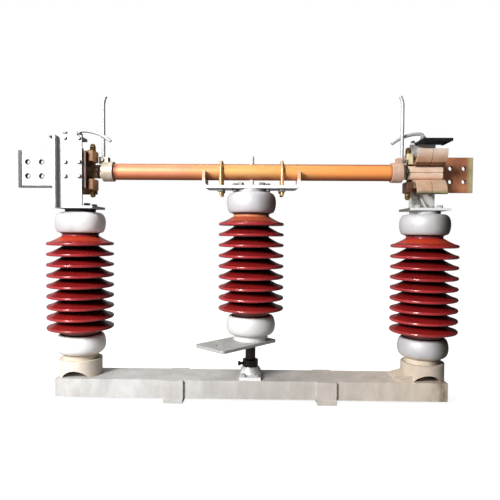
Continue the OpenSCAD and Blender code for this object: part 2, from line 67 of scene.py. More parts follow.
beam_low, beam_high = corners("base_beam")
bracket_low, bracket_high = corners("right_bracket")
bar_low, bar_high = corners("right_terminal")
finger_low, finger_high = corners("right_upper_fingers")
tube_low, tube_high = corners("blade_tube")
saddle_low = corners("blade_saddle")[0]
collar_low = corners("shaft_collar")[0]
crank_low = corners("crank_plate")[0]
foot_cap_low = corners("left_lower_cap")[0]
top_cap_high = corners("left_upper_cap")[1]
clamp_high = corners("right_end_clamp")[1]
cover_high = corners("right_rain_cover")[1]
horn_high = corners("right_fixed_horn")[1]
bearing_high = corners("bearing_housing")[1]
tube_z = centre("blade_tube").z
post_x = centre("right_lower_cap").x
mounts = {mount["name"]: mount for mount in frame["record"]["mounts"]}
pad_x = mounts["right_terminal_bolts"]["pos_m"][0] / MM
pad_pitch = mounts["right_terminal_bolts"]["dims"]["spacing_x_mm"]


# Shader helpers

def new_material(name, metallic, roughness, specular=0.5, coat=0.0, coat_roughness=0.05):
    """A material with a principled shader, and its node tree."""
    material = bpy.data.materials.new(name)
    material.use_nodes = True
    tree = material.node_tree
    shader = tree.nodes["Principled BSDF"]
    shader.inputs["Metallic"].default_value = metallic
    shader.inputs["Roughness"].default_value = roughness
    shader.inputs["Specular IOR Level"].default_value = specular
    shader.inputs["Coat Weight"].default_value = coat
    shader.inputs["Coat Roughness"].default_value = coat_roughness
    return material, tree, shader


def grey(level):
    """A colour without a hue."""
    return (level, level, level)


def noise(tree, scale, detail=4.0, rough=0.6, stretch=(1, 1, 1)):
    """Noise over the frame's own metres, stretched along the axes."""
    coords = tree.nodes.new("ShaderNodeTexCoord")
    mapping = tree.nodes.new("ShaderNodeMapping")
    mapping.inputs["Scale"].default_value = stretch
    texture = tree.nodes.new("ShaderNodeTexNoise")
    texture.inputs["Scale"].default_value = scale
    texture.inputs["Detail"].default_value = detail
    texture.inputs["Roughness"].default_value = rough
    tree.links.new(coords.outputs["Object"], mapping.inputs["Vector"])
    tree.links.new(mapping.outputs["Vector"], texture.inputs["Vector"])
    return texture.outputs["Fac"]


def ramp(tree, factor, stops):
    """Colours along a factor: (position, colour) pairs."""
    node = tree.nodes.new("ShaderNodeValToRGB")
    elements = node.color_ramp.elements
    while len(elements) < len(stops):
        elements.new(0.5)
    for element, (position, color) in zip(elements, stops):
        element.position = position
        element.color = (*color, 1)
    tree.links.new(factor, node.inputs["Fac"])
    return node.outputs["Color"]


def mix(tree, factor, a, b):
    """Colour a where the factor is 0, b where it is 1."""
    node = tree.nodes.new("ShaderNodeMix")
    node.data_type = "RGBA"
    # The node's sockets are numbered through all its data types; 6, 7 and 2 are the colours
    for socket, value in ((node.inputs[0], factor), (node.inputs[6], a), (node.inputs[7], b)):
        if isinstance(value, bpy.types.NodeSocket):
            tree.links.new(value, socket)
        else:
            socket.default_value = (*value, 1)
    return node.outputs[2]


def split(tree, output):
    """The X, Y and Z of a texture coordinate."""
    coords = tree.nodes.new("ShaderNodeTexCoord")
    axes = tree.nodes.new("ShaderNodeSeparateXYZ")
    tree.links.new(coords.outputs[output], axes.inputs[0])
    return axes.outputs


def span(tree, value, start, end):
    """0 where a value is at its start or before, 1 at its end or beyond."""
    node = tree.nodes.new("ShaderNodeMapRange")
    node.inputs["From Min"].default_value = start
    node.inputs["From Max"].default_value = end
    tree.links.new(value, node.inputs["Value"])
    return node.outputs["Result"]


def facing(tree, axis, start, end):
    """How far the surface's normal along an axis lies between two values."""
    return span(tree, split(tree, "Normal")[axis], start, end)


def between(tree, axis, start, end):
    """How far a point lies between two places on an axis, in millimetres."""
    return span(tree, split(tree, "Object")[axis], start * MM, end * MM)


def from_post_axis(tree, start, end):
    """How far a point lies between two radii about its own post, in millimetres."""
    axes = split(tree, "Object")
    fold = tree.nodes.new("ShaderNodeMath")
    fold.operation = "PINGPONG"
    fold.inputs[1].default_value = post_x * MM / 2
    flat = tree.nodes.new("ShaderNodeCombineXYZ")
    length = tree.nodes.new("ShaderNodeVectorMath")
    length.operation = "LENGTH"
    tree.links.new(axes["X"], fold.inputs[0])
    tree.links.new(fold.outputs[0], flat.inputs["X"])
    tree.links.new(axes["Y"], flat.inputs["Y"])
    tree.links.new(flat.outputs[0], length.inputs[0])
    return span(tree, length.outputs["Value"], start * MM, end * MM)


def roughness_from(tree, shader, factor, low, high):
    """Roughness that follows a noise between two values."""
    tree.links.new(ramp(tree, factor, [(0.3, grey(low)), (0.7, grey(high))]), shader.inputs["Roughness"])


def bump_from(tree, shader, factor, depth, bevel):
    """Fine relief on top of edges that are rounded by the bevel's radius, both in millimetres."""
    bump = tree.nodes.new("ShaderNodeBump")
    bump.inputs["Strength"].default_value = 1.0
    bump.inputs["Distance"].default_value = depth * MM
    tree.links.new(factor, bump.inputs["Height"])
    if bevel:
        rounding = tree.nodes.new("ShaderNodeBevel")
        rounding.samples = 4
        rounding.inputs["Radius"].default_value = bevel * MM
        tree.links.new(rounding.outputs["Normal"], bump.inputs["Normal"])
    tree.links.new(bump.outputs["Normal"], shader.inputs["Normal"])


# Tones that several finishes share
DIRT = (0.32, 0.27, 0.2)
RUST = (0.2, 0.075, 0.03)
DULL = (0.5, 0.47, 0.42)
CAP = [(0.42, 0.405, 0.425), (0.465, 0.45, 0.47), (0.51, 0.495, 0.515)]
BLACK = [grey(0.006), grey(0.01), grey(0.016)]

# Bands that several finishes share: a place on an axis, in millimetres, and two tones
# Painted light: paler tones over the right half of the left post's caps, where they turn from the lamp
PAINTED_LIGHT_SIDE = (("X", -post_x, -post_x + 50), (0.84, 0.82, 0.81), (0.93, 0.91, 0.9))
BEIGE_NECK = (("Z", foot_cap_low.z + 30, foot_cap_low.z + 16), (0.5, 0.41, 0.32), (0.64, 0.55, 0.45))

# Sided tones: a range of the normal along an axis, and a tone. The first two are painted shade on the sides
# facing +X, away from the lamp; the last is painted light on ends facing +X.
PAINTED_SHADE_SIDE = (("X", 0.25, 0.95), (0.17, 0.115, 0.095))
DARK_PAINTED_SHADE_SIDE = (("X", 0.0, 0.6), (0.1, 0.083, 0.07))
PAINTED_LIGHT_END = (("X", 0.4, 0.9), (0.8, 0.46, 0.23))

# Noise scales of a finish's grain and of its patches of grime, in scales of its clouds
GRAIN, PATCHES = 12, 0.35

# Heights of the first and the last shed over the porcelain's lower end
FIRST_SHED, LAST_SHED = 64, 312

# Radii between which the painted shade round a post's core gives way to the glaze's own colour
FULL_SHADE_R, NO_SHADE_R = 58, 84


# Kinds of finish

def metal(name, tones, rough, metallic, scale=30, bump=0.2, bevel=0.8, specular=0.5,
          stretch=(1, 1, 1), grime=None, bands=(), stains_and_painted_light=()):
    """A metal with clouded tones, uneven gloss and rounded edges.

    Bands change its tones along an axis, some as painted light and shade; sided tones colour the sides that
    face one way, as stains and as painted light and shade; grime lies in patches.
    """
    material, tree, shader = new_material(name, metallic, rough[0], specular)
    clouds = noise(tree, scale, detail=6, rough=0.65, stretch=stretch)
    grain = noise(tree, GRAIN * scale, detail=3, rough=0.6, stretch=stretch)
    color = ramp(tree, clouds, [(0.3, tones[0]), (0.55, tones[1]), (0.75, tones[2])])
    for place, low, high in bands:
        color = mix(tree, between(tree, *place), color, ramp(tree, clouds, [(0.3, low), (0.7, high)]))
    for side, side_tone in stains_and_painted_light:
        color = mix(tree, facing(tree, *side), color, side_tone)
    if grime:
        soil, cover = grime
        spread = noise(tree, PATCHES * scale, detail=8, rough=0.7)
        color = mix(tree, ramp(tree, spread, [(0.5, grey(0)), (0.72, grey(cover))]), color, soil)
    tree.links.new(color, shader.inputs["Base Color"])
    roughness_from(tree, shader, grain, *rough)
    if bump:
        bump_from(tree, shader, grain, bump, bevel)
    return material


def cap_paint(name, tones, bands=(), stains_and_painted_light=()):
    """Dull silver paint on a cast cap."""
    return metal(name, tones, rough=(0.45, 0.6), metallic=0.2, scale=22, bump=0.4, grime=(DIRT, 0.25),
                 bands=bands, stains_and_painted_light=stains_and_painted_light)


def finger_metal(name, tones, soil, bands=()):
    """Worn, silvered copper of the contacts."""
    return metal(name, tones, rough=(0.3, 0.45), metallic=0.35, grime=(soil, 0.5), bands=bands)


def cast_alloy(name, stains_and_painted_light=()):
    """Satin aluminium."""
    return metal(name, [(0.7, 0.7, 0.69), (0.77, 0.77, 0.76), (0.82, 0.82, 0.81)], rough=(0.36, 0.52),
                 metallic=0.3, scale=35, grime=(DULL, 0.3), stains_and_painted_light=stains_and_painted_light)


def glaze(name, post, top_tone, neck_tone):
    """Oxide-red porcelain glaze: glossy and clouded, with painted shade on upward faces, between the sheds
    and under the upper cap, and painted light on the top and lowest sheds.
    """
    foot = corners(f"{post}_insulator")[0].z
    first_shed = foot + FIRST_SHED
    last_shed = foot + LAST_SHED
    material, tree, shader = new_material(name, 0.0, 0.2, specular=0.55, coat=0.15, coat_roughness=0.12)
    clouds = noise(tree, 14, detail=5)
    rim = ramp(tree, clouds, [(0.3, (0.22, 0.013, 0.017)), (0.5, (0.29, 0.019, 0.023)),
                              (0.75, (0.35, 0.027, 0.03))])
    upper = ramp(tree, clouds, [(0.3, (0.17, 0.007, 0.008)), (0.7, (0.24, 0.011, 0.011))])
    # Upward faces darker: painted shade from the shed above
    color = mix(tree, facing(tree, "Z", 0.4, 0.85), rim, upper)
    # Near black round the core between the sheds: painted shade
    color = mix(tree, from_post_axis(tree, FULL_SHADE_R, NO_SHADE_R), (0.02, 0.001, 0.001), color)
    # Heights over the last shed at which a tone sets in and is full: painted light on the top shed, the
    # neck's tone, and a near-black painted shadow under the upper cap
    for start, end, tone in ((4, 12, top_tone), (19, 24, neck_tone), (26, 28, (0.03, 0.005, 0.004))):
        color = mix(tree, between(tree, "Z", last_shed + start, last_shed + end), color, tone)
    # The lowest shed's brighter tone: painted light
    color = mix(tree, between(tree, "Z", first_shed + 12, first_shed), color, (0.23, 0.017, 0.015))
    tree.links.new(color, shader.inputs["Base Color"])
    roughness_from(tree, shader, noise(tree, 90, detail=2), 0.18, 0.28)
    bump_from(tree, shader, clouds, depth=0.4, bevel=3)
    return material


# Base and crank
galvanised = metal(
    "galvanised", [(0.43, 0.42, 0.41), (0.53, 0.52, 0.51), (0.62, 0.61, 0.59)],
    rough=(0.42, 0.62), metallic=0.25, scale=26, bump=0.3, stretch=(1, 1, 0.4), grime=(DIRT, 0.35),
    bands=[(("X", -350, 50), (0.38, 0.36, 0.34), (0.53, 0.5, 0.47)),
           (("X", 100, 500), (0.48, 0.41, 0.34), (0.66, 0.57, 0.48)),
           (("X", beam_high.x - 65, beam_high.x - 25), (0.16, 0.12, 0.08), (0.66, 0.57, 0.48))])
crank_grey = metal(
    "crank_grey", [(0.32, 0.32, 0.31), (0.4, 0.4, 0.39), (0.48, 0.48, 0.46)],
    rough=(0.42, 0.6), metallic=0.3, scale=60, bump=0.3, grime=(DIRT, 0.3))
pedestal_cream = metal(
    "pedestal_cream", [(0.6, 0.52, 0.44), (0.7, 0.62, 0.53), (0.78, 0.71, 0.62)],
    rough=(0.45, 0.62), metallic=0.15, scale=26, bump=0.4, grime=(DIRT, 0.35),
    bands=[(("X", -300, 300), (0.4, 0.33, 0.26), (0.56, 0.48, 0.39))])

# Posts
# Darker on the sides facing +X: painted shade
silver_paint = cap_paint("silver_paint", CAP, stains_and_painted_light=[PAINTED_SHADE_SIDE])
# The right post's caps: darker still on the sides facing +X, painted shade
right_cap_painted_shade = cap_paint(
    "right_cap_painted_shade", [(0.4, 0.39, 0.4), (0.45, 0.44, 0.45), (0.5, 0.49, 0.5)],
    bands=[BEIGE_NECK], stains_and_painted_light=[DARK_PAINTED_SHADE_SIDE])
centre_foot_cap = cap_paint(
    "centre_foot_cap", [(0.55, 0.54, 0.53), (0.6, 0.59, 0.58), (0.65, 0.64, 0.63)])
# Paler than the other caps: painted light on the brightly lit left post
left_foot_cap = cap_paint(
    "left_foot_cap", [(0.66, 0.65, 0.64), (0.72, 0.71, 0.7), (0.77, 0.76, 0.75)],
    bands=[PAINTED_LIGHT_SIDE, BEIGE_NECK])
# Painted light on the post's right half, and a near-black band on the boss under the bracket's foot: painted
# shadow
left_cap_painted_light_and_shadow = cap_paint(
    "left_cap_painted_light_and_shadow", CAP,
    bands=[PAINTED_LIGHT_SIDE, (("Z", top_cap_high.z - 11, top_cap_high.z - 9), BLACK[0], BLACK[2])])
# Near black: painted shade in the caps' mouths
painted_shade_cement = metal(
    "painted_shade_cement", [(0.02, 0.01, 0.008), (0.035, 0.02, 0.014), (0.055, 0.03, 0.022)],
    rough=(0.8, 0.95), metallic=0.0, scale=60, bump=0.6, bevel=0)
# Top shed tones are painted light; the centre's orange neck is a painted reflection of the copper blade, the
# outer posts' neck a plain dark red
centre_glaze = glaze("centre_glaze", "centre", (0.34, 0.065, 0.03), (0.5, 0.17, 0.08))
outer_glaze = glaze("outer_glaze", "left", (0.38, 0.035, 0.014), (0.2, 0.014, 0.02))

# Blade
# Peach on the upturned ends above the plate: painted reflection of the copper tube. Lavender grey on
# downward faces: painted shade.
saddle_alloy = metal(
    "saddle_alloy", [grey(0.74), grey(0.8), grey(0.84)],
    rough=(0.38, 0.52), metallic=0.3, scale=35, grime=(DULL, 0.3),
    bands=[(("Z", saddle_low.z + 16, saddle_low.z + 30), (0.54, 0.31, 0.18), (0.66, 0.42, 0.27))],
    stains_and_painted_light=[(("Z", -0.2, -0.9), (0.42, 0.4, 0.46))])
clamp_cream = metal(
    "clamp_cream", [(0.32, 0.26, 0.19), (0.42, 0.36, 0.28), (0.5, 0.45, 0.38)],
    rough=(0.4, 0.55), metallic=0.3, scale=35, grime=((0.25, 0.12, 0.06), 0.5),
    bands=[(("X", -100, 100), (0.46, 0.28, 0.2), (0.66, 0.46, 0.36))])
# Painted light and shade along the blade: duller at the left, yellower in the middle, bright orange at the
# right; darker at both ends beside the clamps, on the underside and along the top, all painted shade
copper = metal(
    "copper", [(0.58, 0.2, 0.095), (0.63, 0.23, 0.115), (0.68, 0.275, 0.142)],
    rough=(0.5, 0.58), metallic=0.45, scale=6, bump=0,
    bands=[(("X", -200, -60), (0.6, 0.29, 0.085), (0.66, 0.355, 0.12)),
           (("X", 80, 250), (0.88, 0.3, 0.075), (0.94, 0.36, 0.1)),
           (("X", tube_low.x + 40, tube_low.x + 28), (0.16, 0.04, 0.02), (0.24, 0.07, 0.03)),
           (("X", tube_high.x - 30, tube_high.x - 23), (0.3, 0.09, 0.03), (0.4, 0.14, 0.06))],
    stains_and_painted_light=[(("Z", -0.25, -0.95), (0.3, 0.07, 0.025)), (("Z", 0.62, 0.88), (0.36, 0.14, 0.055))])
# Tan: a painted reflection of the copper tube on the U-bolts
u_bolt_copper_reflection = metal(
    "u_bolt_copper_reflection", [(0.5, 0.29, 0.13), (0.6, 0.38, 0.19), (0.68, 0.46, 0.26)],
    rough=(0.4, 0.52), metallic=0.7, scale=40, bump=0, grime=((0.3, 0.16, 0.08), 0.4))

# Contacts
aluminium = cast_alloy("aluminium")
# The right bracket: faces toward -X darker, painted shade under the fingers
right_alloy = cast_alloy("right_alloy", stains_and_painted_light=[(("X", -0.5, -0.9), (0.13, 0.12, 0.095))])
# The left bracket: darker than the aluminium of the right one, painted shade against the stronger light on
# the left
left_alloy_painted_shade = metal(
    "left_alloy_painted_shade", [(0.4, 0.4, 0.395), (0.45, 0.45, 0.445), (0.5, 0.5, 0.49)],
    rough=(0.45, 0.6), metallic=0.2, scale=35, grime=((0.3, 0.28, 0.25), 0.3))
contact_copper = finger_metal(
    "contact_copper", [(0.7, 0.46, 0.33), (0.81, 0.59, 0.45), (0.87, 0.69, 0.57)], (0.5, 0.4, 0.16))
# Paler above, tan lower down, and a dark band along the mouth's edge as painted shade
upper_finger_copper = finger_metal(
    "upper_finger_copper", [(0.68, 0.48, 0.38), (0.76, 0.6, 0.49), (0.82, 0.7, 0.61)], (0.4, 0.3, 0.12),
    bands=[(("Z", tube_z + 56, tube_z + 38), (0.5, 0.28, 0.17), (0.62, 0.38, 0.25)),
           (("Z", tube_z + 30, tube_z + 26), (0.1, 0.03, 0.012), (0.2, 0.07, 0.03))])
# Olive and near black along the lower edge: painted shade
lower_finger_copper = finger_metal(
    "lower_finger_copper", [(0.52, 0.31, 0.2), (0.64, 0.44, 0.31), (0.74, 0.57, 0.44)], (0.4, 0.34, 0.12),
    bands=[(("Z", tube_z - 53, tube_z - 61), (0.2, 0.17, 0.09), (0.32, 0.28, 0.16)),
           (("Z", tube_z - 60, tube_z - 63), (0.04, 0.035, 0.02), (0.09, 0.08, 0.045))])
# Brighter on the finger ends that face +X: painted light
gold_copper = metal(
    "gold_copper", [(0.2, 0.09, 0.035), (0.27, 0.13, 0.05), (0.34, 0.18, 0.075)],
    rough=(0.35, 0.5), metallic=0.5, scale=45, grime=((0.14, 0.07, 0.03), 0.35), stains_and_painted_light=[PAINTED_LIGHT_END])
# Near-black red at the inner end: painted shade
brown_copper = metal(
    "brown_copper", [(0.34, 0.12, 0.06), (0.5, 0.2, 0.1), (0.64, 0.28, 0.15)],
    rough=(0.35, 0.5), metallic=0.4, grime=((0.2, 0.17, 0.07), 0.5),
    bands=[(("X", bar_high.x - 19, bar_high.x - 9), (0.42, 0.37, 0.2), (0.55, 0.5, 0.3)),
           (("X", bar_low.x + 17, bar_low.x + 7), (0.07, 0.012, 0.01), (0.12, 0.02, 0.015))])
# Dull tones for tin, painted shade against the stronger light on the left. Towards the post it turns dark
# brown, bare copper painted darker as shade, and near black at the inner end as painted shade.
tinned = metal(
    "tinned", [(0.4, 0.395, 0.385), (0.45, 0.445, 0.435), (0.5, 0.495, 0.485)],
    rough=(0.45, 0.6), metallic=0.2, grime=((0.34, 0.3, 0.26), 0.3),
    bands=[(("X", -post_x - 50, -post_x + 10), (0.09, 0.05, 0.03), (0.2, 0.12, 0.08)),
           (("X", -bar_low.x - 17, -bar_low.x - 7), (0.03, 0.012, 0.01), (0.1, 0.05, 0.035))])
black_paint = metal("black_paint", BLACK, rough=(0.55, 0.7), metallic=0.0, specular=0.12)
worn_cover = metal(
    "worn_cover", [(0.32, 0.31, 0.3), (0.42, 0.41, 0.39), (0.5, 0.49, 0.47)],
    rough=(0.45, 0.6), metallic=0.2, grime=((0.16, 0.14, 0.12), 0.4),
    stains_and_painted_light=[(("Z", -0.3, -0.9), (0.2, 0.19, 0.18))])

# Rods, fasteners, and the dark strips that paint shade
dark_steel = metal(
    "dark_steel", [(0.012, 0.01, 0.008), (0.025, 0.02, 0.016), (0.05, 0.042, 0.034)],
    rough=(0.3, 0.45), metallic=0.6, scale=40, grime=(RUST, 0.3))
rod_steel = metal(
    "rod_steel", [(0.36, 0.36, 0.37), (0.43, 0.43, 0.44), (0.5, 0.5, 0.51)],
    rough=(0.35, 0.5), metallic=0.35, scale=40, bump=0, grime=((0.3, 0.28, 0.25), 0.3))
fastener = metal(
    "fastener", [(0.18, 0.175, 0.165), (0.26, 0.255, 0.24), (0.36, 0.35, 0.33)],
    rough=(0.36, 0.5), metallic=0.5, scale=60, bevel=0.5, grime=(RUST, 0.35))
spring_brass = metal(
    "spring_brass", [(0.16, 0.09, 0.03), (0.26, 0.15, 0.05), (0.36, 0.23, 0.085)],
    rough=(0.3, 0.45), metallic=0.7, scale=60, bump=0.1)
# Dark red-brown on the lower blocks, under the blade: painted shade
olive_brass = metal(
    "olive_brass", [(0.5, 0.42, 0.24), (0.64, 0.56, 0.36), (0.74, 0.67, 0.5)],
    rough=(0.35, 0.5), metallic=0.3, scale=60, grime=((0.26, 0.2, 0.08), 0.5),
    bands=[(("Z", tube_z - 8, tube_z - 18), (0.05, 0.012, 0.009), (0.12, 0.035, 0.022))])
# Brighter on the block ends that face +X: painted light
block_brown = metal(
    "block_brown", [(0.08, 0.034, 0.014), (0.11, 0.047, 0.019), (0.15, 0.066, 0.028)],
    rough=(0.4, 0.55), metallic=0.6, scale=60, stains_and_painted_light=[PAINTED_LIGHT_END])
# Near black strips and bushes on the terminals: painted shade on their edges and in their holes
painted_edge_shade = metal(
    "painted_edge_shade", [grey(0.025), (0.04, 0.04, 0.039), (0.06, 0.059, 0.058)],
    rough=(0.5, 0.65), metallic=0.3, scale=50)


# Which finish a node wears: the one for its own name, or else the one for its slot
BY_SLOT = {
    "galvanised_steel": galvanised,
    "silver_caps": silver_paint,
    "cast_aluminium": aluminium,
    "brown_glaze": outer_glaze,
    "copper_tube": copper,
    "tinned_bar": tinned,
    "brown_bar": brown_copper,
    "contact_copper": contact_copper,
    "black_cover": black_paint,
    "dark_steel": dark_steel,
    "steel_rod": rod_steel,
}
BY_NODE = {
    "crank_plate": crank_grey,
    "left_pedestal": pedestal_cream,
    "right_pedestal": pedestal_cream,
    "left_lower_cap": left_foot_cap,
    "left_upper_cap": left_cap_painted_light_and_shadow,
    "centre_lower_cap": centre_foot_cap,
    "centre_insulator": centre_glaze,
    "right_lower_cap": right_cap_painted_shade,
    "right_upper_cap": right_cap_painted_shade,
    "blade_saddle": saddle_alloy,
    "u_bolts": u_bolt_copper_reflection,
    "centre_bolt": aluminium,
    "left_end_clamp": clamp_cream,
    "right_end_clamp": clamp_cream,
    "left_bracket": left_alloy_painted_shade,
    "right_bracket": right_alloy,
    "left_rain_cover": worn_cover,
    "left_upper_fingers": gold_copper,
    "left_lower_fingers": gold_copper,
    "right_upper_fingers": upper_finger_copper,
    "right_lower_fingers": lower_finger_copper,
}

for part in frame["record"]["subparts"]:
    mesh = nodes[part["node"]].data
    mesh.materials.clear()
    mesh.materials.append(BY_NODE.get(part["node"], BY_SLOT[part["material_slot"]]))


# Mesh code for the small pieces, in millimetres

def polar(radius, angle, height=0.0):
    """A point at a radius and an angle about Z."""
    return Vector((radius * math.cos(angle), radius * math.sin(angle), height))


class Shape:
    """Forms gathered into one mesh, which may be turned about the frame's Z."""

    def __init__(self, turn=0):
        self.bm = bmesh.new()
        self.turn = Matrix.Rotation(math.radians(turn), 4, "Z")

    def skin(self, rings, ends="cap"):
        """Skins a row of point rings; the ends are capped, or joined to each other."""
        loops = [[self.bm.verts.new((self.turn @ p) * MM) for p in ring] for ring in rings]
        pairs = list(zip(loops, loops[1:]))
        if ends == "join":
            pairs.append((loops[-1], loops[0]))
        for a, b in pairs:
            for i in range(len(a)):
                j = (i + 1) % len(a)
                self.bm.faces.new((a[i], a[j], b[j], b[i]))
        if ends == "cap":
            self.bm.faces.new(reversed(loops[0]))
            self.bm.faces.new(loops[-1])

    def lathe(self, profile, place, axis, sides, ends="cap", spin=0.0):
        """Rings of (radius, height) about an axis through a place, spun by a fraction of a side."""
        to_axis = Vector(axis).to_track_quat("Z", "Y")
        step = 2 * math.pi / sides
        rings = []
        for radius, height in profile:
            points = [polar(radius, step * (k + spin), height) for k in range(sides)]
            rings.append([Vector(place) + to_axis @ point for point in points])
        self.skin(rings, ends)

    def hexagon(self, place, axis, flats, low, high, spin=0.0):
        """A hexagon across the flats, chamfered at its outer end."""
        radius = flats / math.sqrt(3)
        chamfer = 0.12 * (high - low)
        profile = [(radius, low), (radius, high - chamfer), (0.87 * radius, high)]
        self.lathe(profile, place, axis, 6, spin=spin)

    def washer(self, place, axis, bore, outer, low, high):
        """A flat ring with broken outer edges."""
        edge = 0.2 * (high - low)
        profile = [(bore, low), (outer - edge, low), (outer, low + edge),
                   (outer, high - edge), (outer - edge, high), (bore, high)]
        self.lathe(profile, place, axis, 28, "join")

    def bolt(self, place, axis, size, spin=0.0, height=0.88):
        """A hexagon head on its washer, for a bolt of a size; its height is in sizes."""
        self.washer(place, axis, 0.5 * size, 1.05 * size, 0, 0.2 * size)
        self.hexagon(place, axis, 1.6 * size, 0.2 * size, height * size, spin)

    def nut(self, place, axis, size, spin=0.0, stud=0.0):
        """A nut on its washer; the end of its stud may stand out, to a height in sizes."""
        self.bolt(place, axis, size, spin, height=1.0)
        if stud:
            end = stud * size
            profile = [(0.46 * size, size), (0.46 * size, end - 0.1 * size), (0.36 * size, end)]
            self.lathe(profile, place, axis, 20)

    def sweep(self, points, radii, sides=8):
        """A round section along a path."""
        step = 2 * math.pi / sides
        rings = []
        for i, point in enumerate(points):
            ahead = points[min(i + 1, len(points) - 1)] - points[max(i - 1, 0)]
            to_axis = ahead.to_track_quat("Z", "Y")
            rings.append([point + to_axis @ polar(radii[i], step * k) for k in range(sides)])
        self.skin(rings)

    def weld(self, start, end, size, seed):
        """A rippled bead between two points."""
        rng = random.Random(seed)
        start, end = Vector(start), Vector(end)
        pitch = tail = 0.55 * size
        count = max(4, int((end - start).length / pitch))
        radii = []
        for i in range(count + 1):
            if i in (0, count):
                radii.append(tail)
            else:
                ripple = 0.86 if i % 2 else 1.0
                radii.append(size * (ripple + rng.uniform(-0.08, 0.08)))
        self.sweep([start.lerp(end, i / count) for i in range(count + 1)], radii)

    def spring(self, place, axis, radius, wire, low, high, turns):
        """A coil spring between two heights."""
        to_axis = Vector(axis).to_track_quat("Z", "Y")
        points_per_turn = 18
        count = int(turns * points_per_turn)
        rise = high - low - 2 * wire
        points = []
        for i in range(count + 1):
            coil = polar(radius, 2 * math.pi * turns * i / count, low + wire + rise * i / count)
            points.append(Vector(place) + to_axis @ coil)
        self.sweep(points, [wire] * len(points), 7)

    def plate(self, low, high, edge):
        """A box with broken edges."""
        x0, y0, z0 = low
        x1, y1, z1 = high
        rings = []
        for x, inset in ((x0, edge), (x0 + edge, 0), (x1 - edge, 0), (x1, edge)):
            near, far = y0 + inset, y1 - inset
            base, top = z0 + inset, z1 - inset
            section = [(near, base + edge), (near + edge, base), (far - edge, base), (far, base + edge),
                       (far, top - edge), (far - edge, top), (near + edge, top), (near, top - edge)]
            rings.append([Vector((x, y, z)) for y, z in section])
        self.skin(rings)

    def done(self, name, body, material, smooth=35):
        """Makes the piece, smooth up to an angle, and lets it ride on its body."""
        bmesh.ops.recalc_face_normals(self.bm, faces=self.bm.faces)
        mesh = bpy.data.meshes.new(name)
        self.bm.to_mesh(mesh)
        self.bm.free()
        mesh.polygons.foreach_set("use_smooth", [True] * len(mesh.polygons))
        mesh.set_sharp_from_angle(angle=math.radians(smooth))
        mesh.materials.append(material)
        piece = bpy.data.objects.new(name, mesh)
        bpy.context.collection.objects.link(piece)
        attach(piece, body)


# Sizes that several pieces share
WELD = 2.6
POST_BOLT = 31  # the bolts on a cap, from its post's axis both ways


# Fixed contacts: modelled on the right-hand arm, turned half round for the left one
BRACKET_T = 7
BAR_BOLT = 20  # the bar's bolts, from the post's axis and from the blade's
BAR_BOLT_SIZE, EDGE_BOLT_SIZE, FOOT_BOLT_SIZE = 7, 6, 10
HORN_R = 5
upright_y = bar_high.y + BRACKET_T
foot_z = bracket_low.z + BRACKET_T


def contact_bolts(side, turn):
    """Bolts of the bar, the cover and the bracket's foot, and the fixed horn's nut."""
    bolts = Shape(turn)
    foot_bolts = Shape(turn)
    for x in BOTH:
        bolt_x = post_x + x * BAR_BOLT
        for z in BOTH:
            bolts.bolt((bolt_x, upright_y, tube_z + z * BAR_BOLT), REAR, BAR_BOLT_SIZE, spin=0.2 + 0.22 * x)
        bolts.bolt((bolt_x, upright_y, bracket_high.z - BRACKET_T), REAR, EDGE_BOLT_SIZE, spin=0.3)
        bolts.bolt((bolt_x, upright_y - BRACKET_T / 2, cover_high.z), UP, BAR_BOLT_SIZE, spin=0.15)
        for y in BOTH:
            place = (post_x + x * POST_BOLT, y * POST_BOLT, foot_z)
            foot_bolts.bolt(place, UP, FOOT_BOLT_SIZE, spin=0.1 * y)
    horn_place = (horn_high.x - HORN_R, centre("right_fixed_horn").y, cover_high.z)
    bolts.nut(horn_place, UP, 2 * HORN_R, spin=0.2)
    bolts.done(f"{side}_contact_bolts", "frame", fastener)
    foot_bolts.done(f"{side}_bracket_bolts", "frame", rod_steel)


# Spring bolts: sizes of the rod, washers and nuts
ROD_R, ROD_TIP_R, ROD_TIP = 4, 3.2, 1
WASHER_BORE, WASHER_R, WASHER_T = 4.1, 9, 1.6
NUT_FLATS = 13


def spring_bolt(steel, coils, place, root, spring, nut, stud, radius, wire, turns):
    """A rod through a place; from a root outwards, both ends have a washer, spring, washer, nut and stud."""
    near = root + WASHER_T
    far = near + spring
    seat = far + WASHER_T
    end = seat + nut + stud
    tip = end - ROD_TIP
    steel.lathe([(ROD_TIP_R, -end), (ROD_R, -tip), (ROD_R, tip), (ROD_TIP_R, end)], place, UP, 16)
    for axis in (UP, DOWN):
        steel.washer(place, axis, WASHER_BORE, WASHER_R, root, near)
        steel.washer(place, axis, WASHER_BORE, WASHER_R, far, seat)
        steel.hexagon(place, axis, NUT_FLATS, seat, seat + nut)
        coils.spring(place, axis, radius, wire, near, far, turns)


# Finger clamps: places behind the blade's axis, and heights over and under it
CLAMP_Y, CLAMP_ROOT = 36, 41.6
GUIDE_Y = 22
BLOCK_W, BLOCK_FRONT, BLOCK_EDGE = 18, -2, 1.5
BLOCK_NEAR, BLOCK_FAR = 25, 57
BLOCK_SINK = 0.5  # how far a block reaches into the fingers and the bar


